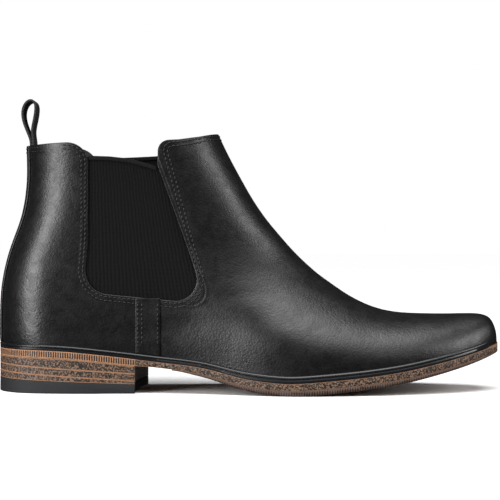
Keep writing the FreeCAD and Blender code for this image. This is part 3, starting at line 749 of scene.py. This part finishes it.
windowCorners = [(-125, 150.3, 0), (-112, 150.8, 30), (-96.9, 151, 12.5), (-97, 90, 60),
                 (-99.3, 60.8, 14.5), (-25.6, 53.6, 13), (-36.5, 86, 60), (-54.9, 152, 7),
                 (-42.2, 152.8, 20), (-30, 154.9, 30), (-17, 158.2, 0)]

stitch = oneStitch()
thread = waxedThread("waxed three-ply thread", stitchLook["thread"])


def finishRow(name, mesh):
    data = bpy.data.meshes.new(name)
    mesh.to_mesh(data)
    mesh.free()
    piece = bpy.data.objects.new(name, data)
    bpy.context.scene.collection.objects.link(piece)
    makeActive(piece)
    bpy.ops.object.shade_smooth()
    dress(piece, thread)
    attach(piece, "boot")
    return piece


for side, label in ((-1, "lateral"), (1, "medial")):
    mesh = bmesh.new()
    for inset in (1.6, 3.9):
        rows = []
        for point in roundedPath(windowCorners, -inset):
            x, z = at(point.x, point.y)
            hit = castSide(outerTree, x, z, side)
            if hit and -128 * mm < hit[0].x < -14 * mm:
                rows.append(hit)
        sewRow(mesh, stitch, rows, 0.12 * side)
    for x in (-66.6, -64.2, -54.7):
        rows = []
        for step in range(54):
            place = at(x, 29 + step * 0.5)
            hit = castSide(trimTree, place[0], place[1], side)
            if hit:
                rows.append(hit)
        sewRow(mesh, stitch, rows)
    finishRow("stitches_" + label, mesh)

mesh = bmesh.new()
for offset in (-1, 1):
    rows = []
    for step in range(230):
        z = 31 * mm + step * 0.5 * mm
        start = Vector((-0.25, middleY + offset * 9.2 * mm, z))
        hit, normal, index, distance = trimTree.ray_cast(start, Vector((1, 0, 0)))
        if hit:
            rows.append((hit, normal if normal.x < 0 else -normal))
    sewRow(mesh, stitch, rows)
for inset in (1.6, 3.9):  # round the back of the collar
    rows = []
    for step in range(121):
        turn = math.radians(180 - 50 + step * 100 / 120)
        z = (149.9 - inset) * mm
        hit = castRound(trimTree, at(-106, 0)[0], z, turn)
        if hit and hit[0].x < at(-124, 0)[0]:
            rows.append(hit)
    sewRow(mesh, stitch, rows)
finishRow("stitches_back", mesh)
mesh = bmesh.new()
for inset in (1.6, 3.9):  # round the front of the collar
    rows = []
    for step in range(121):
        turn = math.radians(-70 + step * 140 / 120)
        level = 154.5
        for again in range(4):
            hit = castRound(outerTree, at(-50, 0)[0], (level - inset) * mm, turn)
            if hit is None:
                break
            x = (hit[0].x - shiftX) / mm
            level = 152.8 + max(x + 42.2, 0) * 0.214
        if hit and x > -41:
            rows.append(hit)
    sewRow(mesh, stitch, rows)
finishRow("stitches_front", mesh)
bpy.data.objects.remove(stitch)
print("stitches are sewn")

# ---- punched holes in the side straps, drawn as dark discs of painted shade laid on the leather

holeLook = {"width": 1.25, "lift": 0.12, "heights": (30, 35, 40, 45, 50), "columns": (-62.1, -58.2)}
# each disc is painted shade standing in for the dark inside of a hole, not a cut through the strap
holeShade = stock("shadowed bottom of a punched hole", "#020202", "#050505", 0.4, 0.9, 0.02)
for side, label in ((-1, "lateral"), (1, "medial")):
    mesh = bmesh.new()
    for x in holeLook["columns"]:
        for z in holeLook["heights"]:
            place = at(x, z)
            hit, normal = castSide(trimTree, place[0], place[1], side)
            facing = normal.to_track_quat("Z", "Y").to_matrix().to_4x4()
            disc = Matrix.Translation(hit + normal * holeLook["lift"] * mm) @ facing
            bmesh.ops.create_circle(mesh, cap_ends=True, segments=14, radius=holeLook["width"] / 2 * mm,
                                    matrix=disc)
    data = bpy.data.meshes.new("holes")
    mesh.to_mesh(data)
    mesh.free()
    piece = bpy.data.objects.new("strap_hole_shade_" + label, data)
    bpy.context.scene.collection.objects.link(piece)
    dress(piece, holeShade)
    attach(piece, "boot")
print("holes are punched")

# ---- pull loop

loopLook = {"width": 15.0, "thick": 1.35, "color": "#0a0a0a", "thread": "#1d1c1b"}
loopLine = [(-1.1, -5.5), (-1.05, -2.5), (-1.0, 1.0), (-3.0, 5.8), (-5.0, 10.5), (-6.4, 15.5),
            (-6.4, 20.2), (-4.4, 24.6), (-1.4, 26.4), (1.3, 25.0), (2.0, 21.2), (1.2, 15.5),
            (0.0, 10.5), (-0.6, 6.0), (0.45, 1.0), (0.4, -2.5), (0.35, -5.5)]

deselectAll()
bpy.ops.mesh.primitive_plane_add(size=1, location=(pivot.x, pivot.y, pivot.z))
loop = bpy.context.object
loop.name = "pull_loop_webbing"
bpy.ops.object.mode_set(mode="EDIT")
bpy.ops.mesh.select_all(action="SELECT")
bpy.ops.mesh.merge(type="CENTER")
firstX, firstZ = loopLine[0]
bpy.ops.transform.translate(value=(firstX * mm, -loopLook["width"] / 2 * mm, firstZ * mm))
for (x0, z0), (x1, z1) in zip(loopLine, loopLine[1:]):
    step = ((x1 - x0) * mm, 0, (z1 - z0) * mm)
    bpy.ops.mesh.extrude_region_move(TRANSFORM_OT_translate={"value": step})
bpy.ops.mesh.select_all(action="SELECT")
bpy.ops.mesh.extrude_region_move(TRANSFORM_OT_translate={"value": (0, loopLook["width"] * mm, 0)})
bpy.ops.object.mode_set(mode="OBJECT")
bpy.ops.object.transform_apply(location=True, rotation=True, scale=True)
for kind in ("subdivide", "thicken", "ease"):
    if kind == "thicken":
        modifier = loop.modifiers.new(kind, "SOLIDIFY")
        modifier.thickness = loopLook["thick"] * mm
        modifier.offset = 0
    elif kind == "subdivide":
        modifier = loop.modifiers.new(kind, "SUBSURF")
        modifier.levels = modifier.render_levels = 2
    else:
        modifier = loop.modifiers.new(kind, "BEVEL")
        modifier.width = 0.35 * mm
        modifier.segments = 2
        modifier.limit_method = "ANGLE"
    bpy.ops.object.modifier_apply(modifier=modifier.name)
bpy.ops.object.mode_set(mode="EDIT")
bpy.ops.mesh.select_all(action="SELECT")
bpy.ops.mesh.normals_make_consistent(inside=False)
bpy.ops.object.mode_set(mode="OBJECT")
bpy.ops.object.shade_smooth_by_angle(angle=math.radians(40))


def twillWebbing(name, look):
    # narrow woven nylon tape: slanting twill ribs, soft sheen
    material, tree, shader = newMaterial(name, Roughness=0.6)
    place = addNode(tree, "ShaderNodeTexCoord").outputs["Object"]
    parts = addNode(tree, "ShaderNodeSeparateXYZ", links={"Vector": place})
    fold = mathNode(tree, "PINGPONG", mathNode(tree, "SUBTRACT", parts.outputs["Y"], middleY), 2.5 * mm)
    slant = mathNode(tree, "ADD", parts.outputs["Z"], fold)
    twillPitch = 0.9 * mm  # about twice the real pitch, which is too fine to show
    wave = mathNode(tree, "SINE", mathNode(tree, "MULTIPLY", slant, 2 * math.pi / twillPitch), 0.0)
    level = mathNode(tree, "MULTIPLY_ADD", wave, 0.5)
    tree.links.new(mixColor(tree, level, look["color"], look["thread"]), shader.inputs["Base Color"])
    bump = addNode(tree, "ShaderNodeBump", values={"Strength": 0.9, "Distance": 0.2 * mm},
                   links={"Height": level}).outputs["Normal"]
    tree.links.new(bump, shader.inputs["Normal"])
    return material


dress(loop, twillWebbing("nylon webbing, twill", loopLook))
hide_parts("pull_loop", "pull_loop_tail")
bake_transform(loop)
print("loop is sewn in")

# ---- inside of the boot

inner = {
    "vamp_lining": stock("lining leather, unglazed", "#2c2622", "#3a322c", 1.1, 0.7, 0.06),
    "quarter_lining": stock("lining leather, unglazed, rear", "#2c2622", "#3a322c", 1.1, 0.7, 0.06),
    "footbed": stock("footbed leather", "#352c26", "#463a31", 1.5, 0.6, 0.06),
    "insole_board": stock("insole leather, skived", "#9c7753", "#c09a72", 1.4, 0.7, 0.08),
    "bottom_filler": stock("cork filler, pressed", "#6b4c31", "#a37c53", 1.8, 0.9, 0.4, "cells"),
    "shank": stock("spring steel strip, rolled", "#7e8083", "#9a9c9f", 0.8, 0.35, 0.02, "drawn", 1.0),
    "heel_nails": stock("drawn steel nails", "#75777a", "#929497", 0.7, 0.4, 0.02, "drawn", 1.0),
    "vamp_interlining": stock("cotton interlining", "#221f1c", "#34302b", 0.9, 0.95, 0.15, "cells"),
    "quarter_interlining": stock("cotton interlining, rear", "#221f1c", "#34302b", 0.9, 0.95, 0.15,
                                 "cells"),
    "toe_puff": stock("fibre toe puff, pressed", "#a39374", "#bdad8d", 1.3, 0.9, 0.1),
    "heel_counter": stock("fibre counter board, pressed", "#a39374", "#bdad8d", 1.3, 0.9, 0.1),
}
for name, material in inner.items():
    dress(nodes[name], material)
